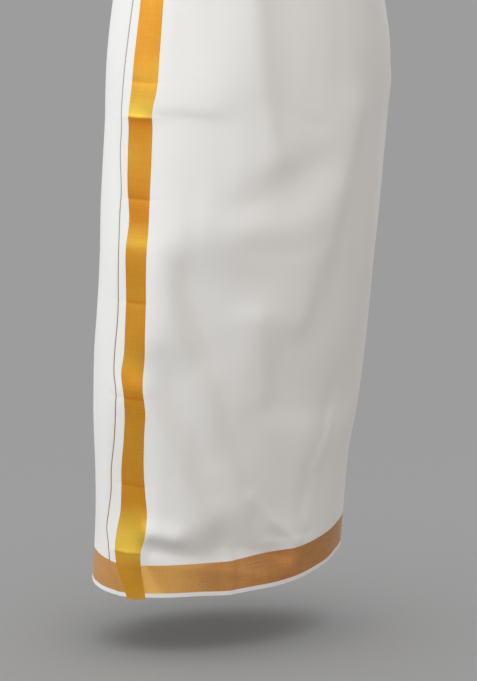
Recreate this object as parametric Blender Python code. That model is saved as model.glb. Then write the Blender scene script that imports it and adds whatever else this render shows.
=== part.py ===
"""Ankle-length wrap dhoti, worn: one long cotton cloth wound round the waist and hanging to the ankles.

The cloth is wound about one turn and a third. Its inner end lies hidden at the front, it goes round the back,
and the outer flap crosses the front and ends in a gold woven band and a narrow white margin.
Metres, +Z up, the front faces -Y. The origin is the middle of the waist opening, where the wearer holds it.

Every point of the cloth is given by a wind angle, in degrees, and a drop, in metres down the cloth.
The wind angle is 0 at the front, 90 at the +X side, 180 at the back and 270 at the -X side, and it goes on
past 360 where the cloth lies under its own outer flap.
"""

import bpy
import numpy as np

# Driving dimensions, in metres
TOP = -0.020            # height of the wall's top edge, just under the waist roll
HEM_HEIGHT = -0.940     # height of the lowest stretch of the hem, at the front
HEM_BAND = 0.041        # depth of the gold band along the hem
SELVEDGE = 0.006        # depth of the white selvedge below it
BAND_DROOP = 0.003      # how far the end band hangs below the selvedge
WALL = 0.0012           # wall thickness of one layer
LAYER_STEP = 0.0029     # how far the outer layer lies out from the inner one
SEAM = 0.00034          # gap between neighbouring stretches
ARC_PER_DEGREE = 0.0029 # mean length of cloth in one degree of wind angle

# The waist roll: the top of the cloth turned down outwards over itself. Its section goes once round, as the
# distance out from the inner layer's middle and the height above the wall's top edge, in metres.
ROLL_COLUMNS = ("out", "up")
ROLL_SECTION = (
    (-0.0012, 0.0002),
    (-0.0016, 0.0120),
    (-0.0006, 0.0230),
    (0.0030, 0.0265),
    (0.0075, 0.0240),
    (0.0100, 0.0140),
    (0.0100, 0.0020),
    (0.0088, -0.0085),
    (0.0066, -0.0115),
    (0.0048, -0.0090),
    (0.0045, 0.0002),
)
ROLL_STEPS_ROUND = 60

# How finely the walls are divided
BODY_ROWS = 30
HEM_ROWS = 2
COLUMN_STEP = 6.0       # degrees of wind angle between columns
NARROWEST_COLUMN = 2.0  # degrees
NARROW_STRETCH = 20.0   # a stretch under this many degrees has this many columns instead
NARROW_COLUMNS = 3

# Where the stretches meet, in degrees of wind angle
LEFT_HIP_SEAM = 78.0
LEFT_BACK_SEAM = 132.0
RIGHT_BACK_SEAM = 228.0
UNDER_FLAP_SEAM = 306.0
INNER_END = 420.0

# The outer layer comes in to the inner one between these wind angles
STEP_IN = (88.0, 165.0)

# Sections of the worn cloth from the waist down, in metres
LEVEL_COLUMNS = ("height", "half_width", "half_depth", "centre_x", "centre_y", "skew")
LEVELS = (
    (0.020, 0.160, 0.120, 0.000, 0.000, 0.000),
    (-0.080, 0.181, 0.134, -0.001, 0.004, 0.004),
    (-0.180, 0.195, 0.146, -0.001, 0.008, 0.008),
    (-0.280, 0.194, 0.148, -0.006, 0.006, 0.012),
    (-0.380, 0.193, 0.146, -0.011, 0.001, 0.017),
    (-0.440, 0.192, 0.144, -0.014, -0.001, 0.020),
    (-0.500, 0.191, 0.139, -0.018, 0.000, 0.023),
    (-0.600, 0.190, 0.132, -0.026, 0.003, 0.029),
    (-0.690, 0.186, 0.126, -0.032, 0.007, 0.034),
    (-0.770, 0.179, 0.122, -0.037, 0.013, 0.039),
    (-0.860, 0.176, 0.119, -0.041, 0.019, 0.043),
    (-0.945, 0.177, 0.121, -0.047, 0.021, 0.045),
)

# Lines woven or cut down the outer flap, as wind angles at each drop
LINE_COLUMNS = ("drop", "free_edge", "band_start", "band_end")
LINES = (
    (0.00, -57.0, -51.5, -38.0),
    (0.16, -57.1, -51.1, -37.5),
    (0.25, -58.9, -53.2, -40.0),
    (0.35, -58.2, -52.8, -39.9),
    (0.47, -57.4, -51.8, -40.1),
    (0.57, -56.6, -50.4, -38.7),
    (0.64, -54.4, -48.5, -37.7),
    (0.69, -55.8, -49.1, -37.4),
    (0.76, -60.1, -52.3, -36.9),
    (0.82, -62.8, -53.4, -35.4),
    (0.87, -58.9, -53.2, -37.2),
    (0.92, -50.0, -44.2, -33.4),
)

# How far the hem rises above its lowest stretch, going round
HEM_COLUMNS = ("angle", "rise")
HEM = (
    (-90.0, 0.011),
    (-68.0, 0.006),
    (-52.0, 0.002),
    (-30.0, 0.003),
    (-8.0, 0.005),
    (6.0, 0.004),
    (16.0, 0.0065),
    (31.0, 0.0095),
    (45.0, 0.0150),
    (60.0, 0.024),
    (75.0, 0.034),
    (90.0, 0.039),
    (135.0, 0.036),
    (180.0, 0.026),
    (225.0, 0.015),
)

# The largest folds: a soft ridge (depth above 0) or trough (below 0) along a bent line, which starts at one
# angle and height, leans towards a second and ends at a third. The left width is on the line's left where it
# runs downwards, and below it where it runs to the right. Widths and depth in metres.
FOLD_COLUMNS = ("start_angle", "start_height", "lean_angle", "lean_height",
                "end_angle", "end_height", "left_width", "right_width", "depth")
FOLDS = {
    "tuck_ridge": (2, 0.00, -2, -0.200, 12, -0.305, 0.055, 0.028, 0.009),
    "upper_crest": (-33, -0.250, -26, -0.250, -16, -0.252, 0.010, 0.050, 0.0025),
    "upper_trough": (-33, -0.266, -24, -0.266, -12, -0.268, 0.040, 0.014, -0.0012),
    "hip_swag_trough": (1, -0.384, 18, -0.362, 34, -0.326, 0.030, 0.024, -0.0035),
    "hip_swag_crest": (8, -0.412, 24, -0.426, 38, -0.378, 0.040, 0.026, 0.0035),
    "hip_edge_ridge": (50, -0.262, 40, -0.375, 28, -0.535, 0.045, 0.022, 0.007),
    "knee_crest": (-33, -0.560, -30, -0.424, 8, -0.397, 0.050, 0.045, 0.0055),
    "calf_shoulder": (10, -0.545, 12, -0.600, 14, -0.645, 0.035, 0.016, 0.0065),
    "calf_pocket": (18, -0.650, 36, -0.680, 54, -0.676, 0.030, 0.060, -0.006),
    "long_drag": (-21, -0.478, 0, -0.655, 19, -0.812, 0.018, 0.070, -0.009),
    "short_drag_crest": (-37, -0.645, -27, -0.705, -9, -0.825, 0.042, 0.018, 0.0075),
    "short_drag": (-29, -0.600, -18, -0.690, -4, -0.785, 0.018, 0.030, -0.003),
    "hem_swell": (-28, -0.838, -24, -0.840, -18, -0.846, 0.024, 0.060, 0.007),
    "hem_pillow": (-32, -0.845, -28, -0.846, -21, -0.850, 0.014, 0.018, 0.007),
    "hem_pocket": (-31, -0.869, -6, -0.880, 31, -0.896, 0.010, 0.018, -0.0062),
    "low_pocket": (3, -0.865, 14, -0.870, 25, -0.884, 0.016, 0.036, -0.010),
    "low_crease_ridge": (14, -0.798, 23, -0.838, 39, -0.870, 0.008, 0.009, 0.003),
    "outer_calf_dome": (44, -0.700, 45, -0.715, 45, -0.735, 0.036, 0.036, 0.003),
    "left_side_ridge": (98, -0.230, 107, -0.520, 113, -0.935, 0.024, 0.042, 0.007),
    "left_side_trough": (114, -0.330, 124, -0.620, 134, -0.935, 0.028, 0.032, -0.006),
    "seat_swag": (146, -0.350, 172, -0.440, 214, -0.340, 0.038, 0.060, -0.006),
    "back_left_ridge": (134, -0.380, 152, -0.620, 147, -0.935, 0.042, 0.024, 0.008),
    "back_middle_trough": (176, -0.540, 165, -0.740, 166, -0.935, 0.040, 0.026, -0.007),
    "back_middle_ridge": (196, -0.470, 190, -0.720, 182, -0.935, 0.024, 0.038, 0.005),
    "back_right_ridge": (222, -0.340, 206, -0.620, 212, -0.935, 0.030, 0.044, 0.008),
    "knee_hollow": (156, -0.655, 182, -0.590, 214, -0.640, 0.042, 0.038, -0.005),
    "right_side_ridge": (241, -0.280, 236, -0.600, 231, -0.935, 0.036, 0.024, 0.006),
    "right_side_trough": (252, -0.420, 250, -0.650, 246, -0.900, 0.024, 0.024, -0.004),
}
FOLD_PATH_STEPS = 14

# Colour, roughness and metallic value of each finish
WHITE_COTTON = ((0.80, 0.79, 0.77, 1.0), 0.85, 0.0)
GOLD_ZARI = ((0.55, 0.33, 0.06, 1.0), 0.45, 0.55)
PALE_GOLD_ZARI = ((0.52, 0.32, 0.12, 1.0), 0.50, 0.45)


def clear_scene():
    """Remove whatever the scene holds."""
    for thing in list(bpy.data.objects):
        bpy.data.objects.remove(thing, do_unlink=True)


def read_table(columns, table, at):
    """The table's columns by name at the given places of its first column: cubic pieces with the slopes of a
    Catmull-Rom curve."""
    rows = np.array(table, dtype=float)
    rows = rows[np.argsort(rows[:, 0])]
    places = rows[:, 0]
    values = rows[:, 1:]
    slopes = np.gradient(values, places, axis=0)
    at = np.clip(np.asarray(at, dtype=float), places[0], places[-1])
    cell = np.clip(np.searchsorted(places, at, side="right") - 1, 0, len(places) - 2)
    step = (places[cell + 1] - places[cell])[..., None]
    part = ((at - places[cell])[..., None]) / step
    low, high = values[cell], values[cell + 1]
    low_slope, high_slope = slopes[cell] * step, slopes[cell + 1] * step
    blend = (
        low * (2 * part**3 - 3 * part**2 + 1)
        + low_slope * (part**3 - 2 * part**2 + part)
        + high * (3 * part**2 - 2 * part**3)
        + high_slope * (part**3 - part**2)
    )
    return {column: blend[..., one] for one, column in enumerate(columns[1:])}


def hem_height(angle):
    """Height of the hem at a wind angle."""
    turn = np.mod(np.asarray(angle, dtype=float) - HEM[0][0], 360.0) + HEM[0][0]
    rows_before = tuple((place - 360.0, rise) for place, rise in HEM[-2:])
    rows_after = tuple((place + 360.0, rise) for place, rise in HEM[:2])
    return HEM_HEIGHT + read_table(HEM_COLUMNS, rows_before + HEM + rows_after, turn)["rise"]


def bent_line(start, lean, end):
    """Points along a line that starts at one value, leans towards a second and ends at a third."""
    steps = np.linspace(0.0, 1.0, FOLD_PATH_STEPS + 1)
    return (1 - steps) ** 2 * start + 2 * steps * (1 - steps) * lean + steps**2 * end


def fold_offset(angle, height):
    """How far all the folds together push the cloth out at a wind angle and height. Each pushes by
    depth * exp(-(distance to its line / width)^2), and its width goes from the left one to the right one with
    the sine of the angle between the line and the way to the point."""
    total = np.zeros(np.broadcast(angle, height).shape)
    for row in FOLDS.values():
        fold = dict(zip(FOLD_COLUMNS, row))
        path_a = bent_line(fold["start_angle"], fold["lean_angle"], fold["end_angle"])
        path_h = bent_line(fold["start_height"], fold["lean_height"], fold["end_height"])
        nearest = np.full(total.shape, 1e9)
        side = np.zeros(total.shape)
        for one in range(FOLD_PATH_STEPS):
            across = (np.mod(angle - path_a[one] + 180.0, 360.0) - 180.0) * ARC_PER_DEGREE
            up = height - path_h[one]
            run_a = (path_a[one + 1] - path_a[one]) * ARC_PER_DEGREE
            run_h = path_h[one + 1] - path_h[one]
            along = np.clip((across * run_a + up * run_h) / (run_a**2 + run_h**2), 0.0, 1.0)
            gap_a, gap_h = across - along * run_a, up - along * run_h
            squared = gap_a**2 + gap_h**2
            sine = (run_a * gap_h - run_h * gap_a) / np.sqrt((run_a**2 + run_h**2) * squared + 1e-12)
            closer = squared < nearest
            nearest = np.where(closer, squared, nearest)
            side = np.where(closer, sine, side)
        left, right = fold["left_width"], fold["right_width"]
        width = (left + right) / 2 + side * (right - left) / 2
        total += fold["depth"] * np.exp(-nearest / width**2)
    return total


def layer_offset(angle):
    """How far out a wind angle lies: the outer layer comes in to the inner one round the back."""
    part = np.clip((np.asarray(angle) - STEP_IN[0]) / (STEP_IN[1] - STEP_IN[0]), 0.0, 1.0)
    return LAYER_STEP * (1.0 - part**2 * (3.0 - 2.0 * part))


def cloth_point(angle, height, lift=0.0):
    """The cloth's middle at a wind angle and height: an ellipse whose +X side may lie further back,
    moved out along its own normal by the layer, the folds and the lift."""
    level = read_table(LEVEL_COLUMNS, LEVELS, height)
    turn = np.radians(angle)
    x = level["centre_x"] + level["half_width"] * np.sin(turn)
    y = level["centre_y"] + level["skew"] * np.sin(turn) - level["half_depth"] * np.cos(turn)
    run_x = level["half_width"] * np.cos(turn)
    run_y = level["skew"] * np.cos(turn) + level["half_depth"] * np.sin(turn)
    length = np.hypot(run_x, run_y)
    out = layer_offset(angle) + fold_offset(angle, height) + lift
    return np.stack([x + out * run_y / length, y - out * run_x / length, height + 0.0 * x], axis=-1)


def outward(angle, height):
    """Unit normals of the folded cloth, from its slopes round and up."""
    round_by, up_by = 0.4, 0.002
    across = cloth_point(angle + round_by, height) - cloth_point(angle - round_by, height)
    upward = cloth_point(angle, height + up_by) - cloth_point(angle, height - up_by)
    normal = np.cross(across, upward)
    return normal / np.linalg.norm(normal, axis=-1, keepdims=True)


def grid_faces(rows, columns, first, flip):
    """Triangles of a grid of points, row after row down the cloth; columns run with the wind angle.
    Every cell is cut along the same diagonal on both sides of a wall and in both layers, so that they nest."""
    corner = first + np.arange(rows - 1)[:, None] * columns + np.arange(columns - 1)[None, :]
    lower = np.stack([corner, corner + columns, corner + columns + 1], axis=-1).reshape(-1, 3)
    upper = np.stack([corner, corner + columns + 1, corner + 1], axis=-1).reshape(-1, 3)
    faces = np.concatenate([lower, upper])
    return faces[:, ::-1] if flip else faces


def rim_faces(rows, columns, inner_first):
    """Faces that close a wall's four edges, between its outer and its inner grid."""
    top = np.arange(columns)
    right = np.arange(rows) * columns + columns - 1
    bottom = (rows - 1) * columns + np.arange(columns)[::-1]
    left = np.arange(rows)[::-1] * columns
    ring = np.concatenate([top[:-1], right[:-1], bottom[:-1], left[:-1]])
    after = np.roll(ring, -1)
    near = np.stack([ring, after, after + inner_first], axis=-1)
    far = np.stack([ring, after + inner_first, ring + inner_first], axis=-1)
    return np.concatenate([near, far])


def finish(name, points, faces, look):
    """A named object from points and faces, with its own material."""
    colour, roughness, metallic = look
    mesh = bpy.data.meshes.new(name)
    mesh.from_pydata(points.tolist(), [], [tuple(face) for face in faces.tolist()])
    mesh.validate()
    mesh.shade_smooth()
    thing = bpy.data.objects.new(name, mesh)
    bpy.context.scene.collection.objects.link(thing)
    material = bpy.data.materials.new(name)
    material.use_nodes = True
    shader = material.node_tree.nodes["Principled BSDF"]
    shader.inputs["Base Color"].default_value = colour
    shader.inputs["Roughness"].default_value = roughness
    shader.inputs["Metallic"].default_value = metallic
    material.diffuse_color = colour
    mesh.materials.append(material)
    return thing


def wall(name, angles, heights, look):
    """A closed wall: the cloth's grid moved half a thickness out, and the same grid half a thickness in."""
    rows, columns = angles.shape
    middle = cloth_point(angles, heights)
    normal = outward(angles, heights)
    outer = (middle + normal * WALL / 2).reshape(-1, 3)
    inner = (middle - normal * WALL / 2).reshape(-1, 3)
    faces = np.concatenate([
        grid_faces(rows, columns, 0, False),
        grid_faces(rows, columns, rows * columns, True),
        rim_faces(rows, columns, rows * columns),
    ])
    return finish(name, np.concatenate([outer, inner]), faces, look)


def flap_line(drop, column):
    """Wind angle of one of the outer flap's lines at a drop."""
    return read_table(LINE_COLUMNS, LINES, drop)[column]


def drops(start, end, rows):
    """Drops at the grid rows between two edges, with half a seam left clear at each."""
    return np.linspace(start + SEAM / 2, end - SEAM / 2, rows + 1)


def heights_at(angles, drop):
    """Heights of the grid: the plain cloth above the hem band is stretched to the hem, the bands are not."""
    nominal = TOP - HEM_HEIGHT
    plain = nominal - HEM_BAND - SELVEDGE
    lowest = hem_height(angles)
    band_top = lowest + HEM_BAND + SELVEDGE
    drop = drop[:, None] + 0.0 * angles
    above = TOP + (band_top - TOP) * drop / plain
    below = band_top - (drop - plain)
    return np.where(drop < plain, above, below)


def stretch_grid(start, end, drop):
    """Wind angles and heights of a stretch's grid. Start and end are angles, one number or one for each row.
    Between them the columns stand at whole steps, the same in both layers, so that the layers nest."""
    start = np.broadcast_to(start, drop.shape)
    end = np.broadcast_to(end, drop.shape)
    half_seam = SEAM / 2 / ARC_PER_DEGREE
    first = np.ceil((np.max(start) + NARROWEST_COLUMN) / COLUMN_STEP)
    last = np.floor((np.min(end) - NARROWEST_COLUMN) / COLUMN_STEP)
    whole_steps = np.arange(first, last + 1) * COLUMN_STEP
    middle = np.broadcast_to(whole_steps, (len(drop), len(whole_steps)))
    if np.mean(end - start) < NARROW_STRETCH:
        parts = np.linspace(0.0, 1.0, NARROW_COLUMNS + 1)[None, 1:-1]
        middle = start[:, None] * (1 - parts) + end[:, None] * parts
    angles = np.concatenate([(start + half_seam)[:, None], middle, (end - half_seam)[:, None]], axis=1)
    return angles, heights_at(angles, drop)


def cloth_stretches():
    """Each stretch of the wound cloth as three walls: plain cotton, gold hem band and white selvedge."""
    nominal = TOP - HEM_HEIGHT
    zones = (
        ("cloth", 0.0, nominal - HEM_BAND - SELVEDGE, BODY_ROWS, WHITE_COTTON),
        ("hem_band", nominal - HEM_BAND - SELVEDGE, nominal - SELVEDGE, HEM_ROWS, PALE_GOLD_ZARI),
        ("selvedge", nominal - SELVEDGE, nominal, 1, WHITE_COTTON),
    )
    for zone, first, last, rows, look in zones:
        drop = drops(first, last, rows)
        stretches = (
            ("flap_margin", flap_line(drop, "free_edge"), flap_line(drop, "band_start")),
            ("front_flap", flap_line(drop, "band_end"), LEFT_HIP_SEAM),
            ("left_side", LEFT_HIP_SEAM, LEFT_BACK_SEAM),
            ("back", LEFT_BACK_SEAM, RIGHT_BACK_SEAM),
            ("right_side", RIGHT_BACK_SEAM, UNDER_FLAP_SEAM),
            ("under_front", UNDER_FLAP_SEAM, INNER_END),
        )
        for stretch, start, end in stretches:
            angles, heights = stretch_grid(start, end, drop)
            wall(f"{stretch}_{zone}", angles, heights, look)


def flap_end_band():
    """The gold band woven across the cloth's end: it runs down the flap over the whole drop."""
    nominal = TOP - HEM_HEIGHT
    plain = nominal - HEM_BAND - SELVEDGE
    drop = np.concatenate([
        np.linspace(SEAM / 2, plain, BODY_ROWS + 1),
        plain + HEM_BAND * np.linspace(0.0, 1.0, HEM_ROWS + 1)[1:],
        [nominal, nominal + BAND_DROOP],
    ])
    inside = np.minimum(drop, nominal)
    angles, heights = stretch_grid(flap_line(inside, "band_start"), flap_line(inside, "band_end"), drop)
    wall("flap_end_band", angles, heights, GOLD_ZARI)


def waist_roll():
    """The turned-down top: the roll's section carried once round the waist, over the walls' top edges."""
    section = dict(zip(ROLL_COLUMNS, np.transpose(ROLL_SECTION)))
    steps = len(ROLL_SECTION)
    angles = np.linspace(0.0, 360.0, ROLL_STEPS_ROUND, endpoint=False)[:, None] + np.zeros(steps)
    points = cloth_point(angles, TOP + section["up"] + 0.0 * angles, section["out"] - layer_offset(angles))
    here = np.arange(ROLL_STEPS_ROUND)[:, None] * steps + np.arange(steps)[None, :]
    onward = np.roll(here, -1, axis=0)
    faces = np.stack([here, np.roll(here, -1, axis=1), np.roll(onward, -1, axis=1), onward], axis=-1)
    finish("waist_roll", points.reshape(-1, 3), faces.reshape(-1, 4), WHITE_COTTON)


def main():
    clear_scene()
    waist_roll()
    cloth_stretches()
    flap_end_band()


main()
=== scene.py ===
"""A worn wrap dhoti: white cotton wound round the waist, with gold woven bands at the hem and the flap's end.

Every piece is a thin shell on one surface, the cloth as it hangs. A point of the cloth is given by its wind
angle and its drop. The wind angle is in degrees, 0 at the front, 90 at the +X side, 180 at the back, 270 at
the -X side and past 302 under the outer flap. The drop is the distance down the cloth from the waist roll.
"""

import bpy
import numpy as np
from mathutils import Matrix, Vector


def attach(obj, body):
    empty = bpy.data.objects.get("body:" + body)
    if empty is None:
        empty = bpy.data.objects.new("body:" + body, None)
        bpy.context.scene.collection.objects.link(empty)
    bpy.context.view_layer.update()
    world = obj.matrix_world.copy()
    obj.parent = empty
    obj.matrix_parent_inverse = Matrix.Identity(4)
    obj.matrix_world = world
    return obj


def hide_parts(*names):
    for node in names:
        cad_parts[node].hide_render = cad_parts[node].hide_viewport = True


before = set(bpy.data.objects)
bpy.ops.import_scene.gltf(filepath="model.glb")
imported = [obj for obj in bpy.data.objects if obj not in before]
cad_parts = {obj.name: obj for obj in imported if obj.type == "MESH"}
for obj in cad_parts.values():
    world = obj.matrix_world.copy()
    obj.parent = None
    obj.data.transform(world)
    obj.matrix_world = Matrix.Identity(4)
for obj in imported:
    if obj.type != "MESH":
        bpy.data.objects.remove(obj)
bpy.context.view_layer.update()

bl_info = {
    "name": "Worn wrap dhoti",
    "version": (1, 0, 0),
    "blender": (4, 5, 0),
    "location": "3D View > Sidebar > Dhoti",
    "description": "White cotton wrap dhoti with gold woven bands, as it hangs when worn",
    "category": "Add Mesh",
}

# Sizes of the worn cloth, in metres
TOP = -0.020
HEM_HEIGHT = -0.940
HEM_BAND = 0.041
SELVEDGE = 0.006
BAND_DROOP = 0.003
EDGE_THREAD_WIDTH = 0.0017
EDGE_THREAD_THICKNESS = 0.0009
EDGE_THREAD_LIFT = 0.0002
SELVEDGE_THICKNESS = 0.0008
SOLID_WALL = 0.0012
ARC_PER_DEGREE = 0.0029
WHOLE_DROP = TOP - HEM_HEIGHT
PLAIN_DROP = WHOLE_DROP - HEM_BAND - SELVEDGE

# Wind angles where the outer layer comes in to the inner one, and where the cloth's inner end lies
STEP_IN = (88.0, 165.0)
INNER_END = 420.0

# Sizes of the grids' cells: heights of rows in metres, widths of columns in degrees
MARGIN_ROW = 0.0035
BAND_ROW = 0.0019
HEM_ROW = 0.0030
SELVEDGE_ROW = 0.0020
FRONT_COLUMN = 1.15
BACK_COLUMN = 2.7
INNER_COLUMN = 5.0
MARGIN_COLUMNS = 8
BAND_COLUMNS = 16
ROLL_COLUMNS_ROUND = 540
ROLL_POINTS = 60

# Sections of the worn cloth from the waist down
LEVEL_COLUMNS = ("height", "half_width", "half_depth", "centre_x", "centre_y", "skew")
LEVELS = (
    (0.020, 0.160, 0.120, 0.000, 0.000, 0.000),
    (-0.080, 0.181, 0.134, -0.001, 0.004, 0.004),
    (-0.180, 0.195, 0.146, -0.001, 0.008, 0.008),
    (-0.280, 0.194, 0.148, -0.006, 0.006, 0.012),
    (-0.380, 0.193, 0.146, -0.011, 0.001, 0.017),
    (-0.440, 0.192, 0.144, -0.014, -0.001, 0.020),
    (-0.500, 0.191, 0.139, -0.018, 0.000, 0.023),
    (-0.600, 0.190, 0.132, -0.026, 0.003, 0.029),
    (-0.690, 0.186, 0.126, -0.032, 0.007, 0.034),
    (-0.770, 0.179, 0.122, -0.037, 0.013, 0.039),
    (-0.860, 0.176, 0.119, -0.041, 0.019, 0.043),
    (-0.945, 0.177, 0.121, -0.047, 0.021, 0.045),
)

# Lines down the outer flap, as wind angles at each drop
LINE_COLUMNS = ("drop", "free_edge", "band_start", "band_end")
LINES = (
    (0.000, -57.0, -51.5, -38.0),
    (0.160, -57.0, -50.9, -37.0),
    (0.210, -58.1, -51.5, -37.3),
    (0.243, -58.7, -52.8, -39.3),
    (0.260, -58.3, -52.6, -39.1),
    (0.290, -59.1, -52.9, -39.1),
    (0.350, -57.8, -52.7, -39.6),
    (0.380, -58.3, -51.4, -39.6),
    (0.425, -57.6, -52.1, -39.6),
    (0.470, -57.1, -51.3, -39.0),
    (0.530, -55.9, -50.1, -37.8),
    (0.570, -56.3, -49.5, -37.3),
    (0.600, -55.9, -50.3, -37.6),
    (0.625, -53.6, -48.0, -36.8),
    (0.650, -53.8, -47.3, -35.5),
    (0.690, -55.4, -48.6, -36.2),
    (0.745, -59.6, -51.7, -36.6),
    (0.770, -59.9, -51.9, -35.8),
    (0.800, -61.8, -52.3, -34.5),
    (0.828, -63.1, -54.0, -34.8),
    (0.853, -60.1, -54.1, -37.1),
    (0.875, -58.1, -52.1, -36.7),
    (0.920, -50.0, -44.2, -33.4),
)

# How far the hem rises above its lowest stretch, going round
HEM_COLUMNS = ("angle", "rise")
HEM = (
    (-90.0, 0.011),
    (-68.0, 0.006),
    (-52.0, 0.002),
    (-30.0, 0.003),
    (-8.0, 0.005),
    (6.0, 0.004),
    (16.0, 0.0065),
    (31.0, 0.0095),
    (45.0, 0.0150),
    (60.0, 0.024),
    (75.0, 0.034),
    (90.0, 0.039),
    (135.0, 0.036),
    (180.0, 0.026),
    (225.0, 0.015),
)

# Folds: a soft ridge (depth above 0) or trough (below 0) along a bent line, which starts at one angle and
# height, leans towards a second and ends at a third. The left width is on the line's left where it runs
# downwards, and below it where it runs to the right.
FOLD_COLUMNS = ("start_angle", "start_height", "lean_angle", "lean_height",
                "end_angle", "end_height", "left_width", "right_width", "depth")
LARGE_FOLDS = {
    "tuck_ridge": (2, 0.00, -2, -0.200, 12, -0.305, 0.055, 0.028, 0.009),
    "upper_crest": (-33, -0.250, -26, -0.250, -16, -0.252, 0.010, 0.050, 0.0025),
    "upper_trough": (-33, -0.266, -24, -0.266, -12, -0.268, 0.040, 0.014, -0.0012),
    "hip_swag_trough": (1, -0.384, 18, -0.362, 34, -0.326, 0.030, 0.024, -0.0035),
    "hip_swag_crest": (8, -0.412, 24, -0.426, 38, -0.378, 0.040, 0.026, 0.0035),
    "hip_edge_ridge": (50, -0.262, 40, -0.375, 28, -0.535, 0.045, 0.022, 0.007),
    "knee_crest": (-33, -0.560, -30, -0.424, 8, -0.397, 0.050, 0.045, 0.0055),
    "calf_shoulder": (10, -0.545, 12, -0.600, 14, -0.645, 0.035, 0.016, 0.0065),
    "calf_pocket": (18, -0.650, 36, -0.680, 54, -0.676, 0.030, 0.060, -0.006),
    "long_drag": (-21, -0.478, 0, -0.655, 19, -0.812, 0.018, 0.070, -0.009),
    "short_drag_crest": (-37, -0.645, -27, -0.705, -9, -0.825, 0.042, 0.018, 0.0075),
    "short_drag": (-29, -0.600, -18, -0.690, -4, -0.785, 0.018, 0.030, -0.003),
    "hem_swell": (-28, -0.838, -24, -0.840, -18, -0.846, 0.024, 0.060, 0.007),
    "hem_pillow": (-32, -0.845, -28, -0.846, -21, -0.850, 0.014, 0.018, 0.007),
    "hem_pocket": (-31, -0.869, -6, -0.880, 31, -0.896, 0.010, 0.018, -0.0062),
    "low_pocket": (3, -0.865, 14, -0.870, 25, -0.884, 0.016, 0.036, -0.010),
    "low_crease_ridge": (14, -0.798, 23, -0.838, 39, -0.870, 0.008, 0.009, 0.003),
    "outer_calf_dome": (44, -0.700, 45, -0.715, 45, -0.735, 0.036, 0.036, 0.003),
    "left_side_ridge": (98, -0.230, 107, -0.520, 113, -0.935, 0.024, 0.042, 0.007),
    "left_side_trough": (114, -0.330, 124, -0.620, 134, -0.935, 0.028, 0.032, -0.006),
    "seat_swag": (146, -0.350, 172, -0.440, 214, -0.340, 0.038, 0.060, -0.006),
    "back_left_ridge": (134, -0.380, 152, -0.620, 147, -0.935, 0.042, 0.024, 0.008),
    "back_middle_trough": (176, -0.540, 165, -0.740, 166, -0.935, 0.040, 0.026, -0.007),
    "back_middle_ridge": (196, -0.470, 190, -0.720, 182, -0.935, 0.024, 0.038, 0.005),
    "back_right_ridge": (222, -0.340, 206, -0.620, 212, -0.935, 0.030, 0.044, 0.008),
    "knee_hollow": (156, -0.655, 182, -0.590, 214, -0.640, 0.042, 0.038, -0.005),
    "right_side_ridge": (241, -0.280, 236, -0.600, 231, -0.935, 0.036, 0.024, 0.006),
    "right_side_trough": (252, -0.420, 250, -0.650, 246, -0.900, 0.024, 0.024, -0.004),
}

# Finer creases, in the same columns
FINE_CREASES = {
    "below_tuck": (8, -0.240, 16, -0.262, 30, -0.276, 0.012, 0.012, -0.0010),
    "under_swag": (6, -0.440, 22, -0.458, 36, -0.430, 0.012, 0.020, -0.0012),
    "tuck_edge": (4, 0.00, 2, -0.220, 14, -0.320, 0.020, 0.010, 0.0020),
    "upper_drag_head": (-22, -0.500, -20, -0.535, -13, -0.585, 0.014, 0.050, -0.0045),
    "lower_drag_head": (-23, -0.630, -17, -0.672, -7, -0.728, 0.014, 0.045, -0.0030),
    "hem_lip": (-34, -0.874, -26, -0.876, -10, -0.880, 0.030, 0.022, 0.0032),
    "shin_line": (54, -0.690, 51, -0.730, 46, -0.766, 0.008, 0.010, 0.0014),
    "low_crease_edge": (17, -0.806, 28, -0.846, 38, -0.868, 0.004, 0.004, 0.0008),
    "above_hem": (24, -0.858, 34, -0.866, 46, -0.862, 0.006, 0.010, -0.0014),
    "hem_kink": (6, -0.868, 7, -0.900, 7, -0.940, 0.010, 0.005, 0.0018),
    "calf_drag": (52, -0.660, 46, -0.750, 40, -0.830, 0.016, 0.012, -0.0014),
    "seat_left": (138, -0.316, 152, -0.352, 172, -0.364, 0.010, 0.016, -0.0014),
    "seat_right": (192, -0.376, 210, -0.352, 224, -0.300, 0.010, 0.016, -0.0014),
    "back_drag_left": (182, -0.520, 172, -0.640, 140, -0.730, 0.014, 0.022, -0.0020),
    "back_drag_right": (196, -0.700, 210, -0.745, 226, -0.840, 0.022, 0.014, -0.0016),
    "left_drag": (96, -0.480, 106, -0.540, 120, -0.570, 0.012, 0.012, -0.0016),
    "right_drag": (262, -0.560, 250, -0.610, 236, -0.620, 0.012, 0.012, -0.0014),
}
FOLD_PATH_STEPS = 14

# Creases left across the cloth from its folded packing, pointing out (above 0) or in (below 0)
PACKING_COLUMNS = ("drop", "out", "width")
PACKING_CREASES = (
    (0.198, -0.0006, 0.005),
    (0.2465, 0.0016, 0.007),
    (0.357, -0.0010, 0.006),
    (0.499, -0.0008, 0.006),
    (0.633, -0.0012, 0.006),
    (0.759, -0.0008, 0.005),
    (0.856, 0.0016, 0.006),
)
PACKING_REACH = 11.0
PACKING_LEFT_OVER = 0.05
CREASE_MARK_WIDTH = 0.0016
DEEPEST_CREASE = 0.0016

# Low uneven waves of slack cotton, in metres, and the gathers that fall from the waist roll
SLACK = {"slow": 0.0005, "leaning": 0.0004, "small": 0.00018}
GATHER_DEPTH = 0.0007
GATHER_FALL = 0.035

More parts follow.
